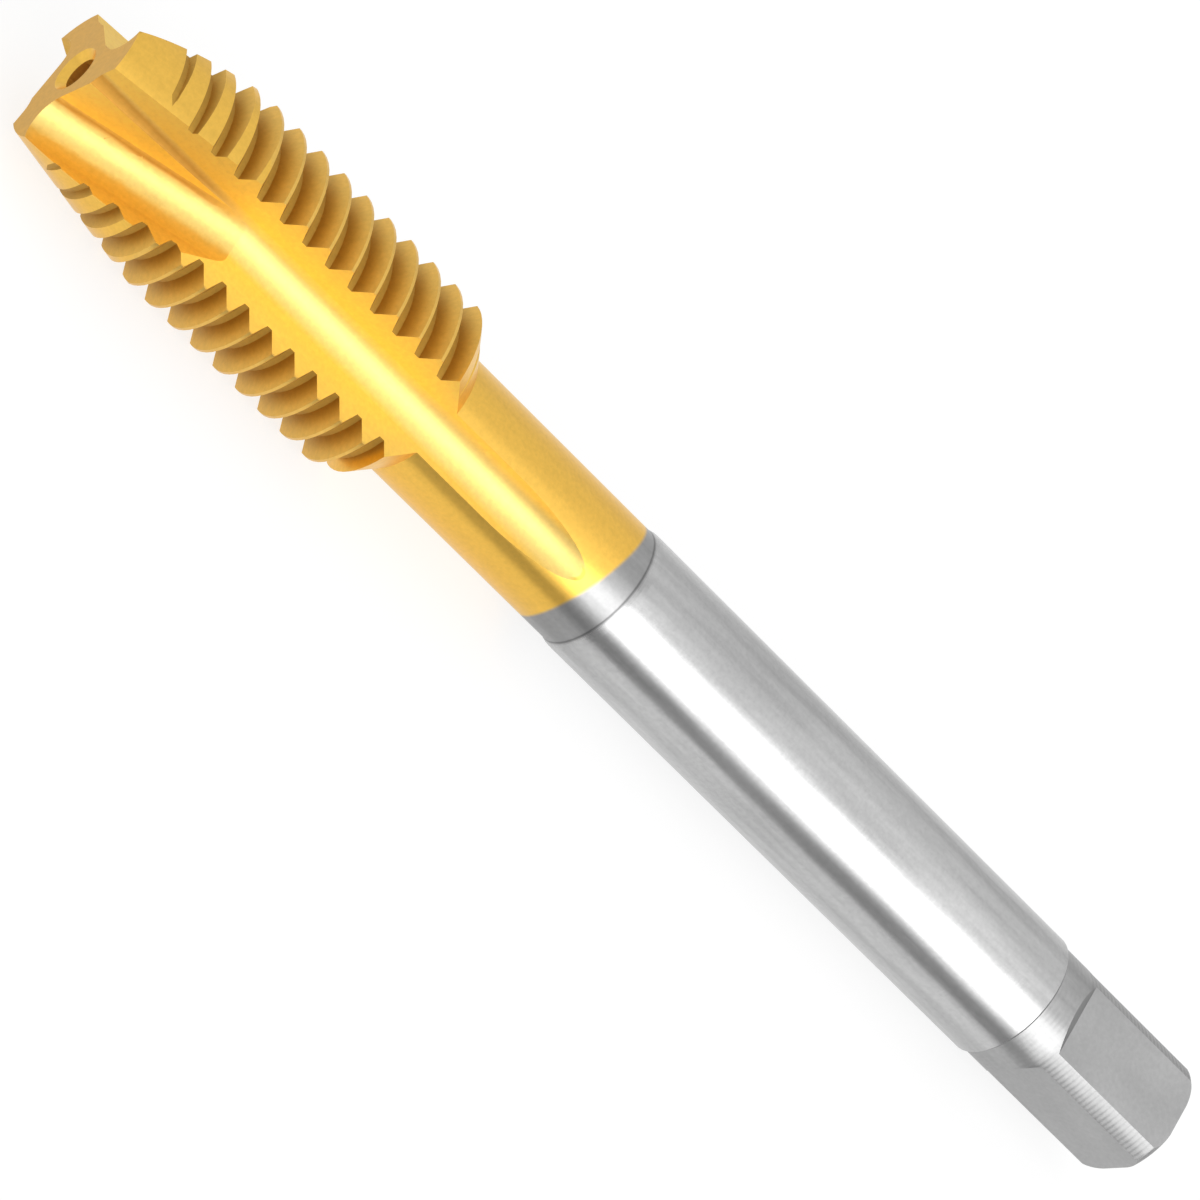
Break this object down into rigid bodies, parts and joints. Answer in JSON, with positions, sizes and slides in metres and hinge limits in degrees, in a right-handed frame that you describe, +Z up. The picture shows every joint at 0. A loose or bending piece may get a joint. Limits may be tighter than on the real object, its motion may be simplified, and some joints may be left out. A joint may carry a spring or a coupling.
{
  "type": "thread tap",
  "caption": "Machine thread tap with a spiral-point lead, three straight flutes, a reduced neck, a round shank and a driving square.",
  "frame": {"origin": "centre of the flat face at the drive end, on the axis of the tap", "axes": "+X along the axis from the cutting tip to the drive end, +Z up, with one flute straight down"},
  "size_m": [0.075, 0.0102, 0.0095],
  "materials": {
    "ground_steel": "ground high speed steel; threads, flutes and neck carry a thin gold-coloured nitride coating, the shank is bare"
  },
  "bodies": {
    "root": {"tap_body": "ground_steel"}
  },
  "joints": []
}
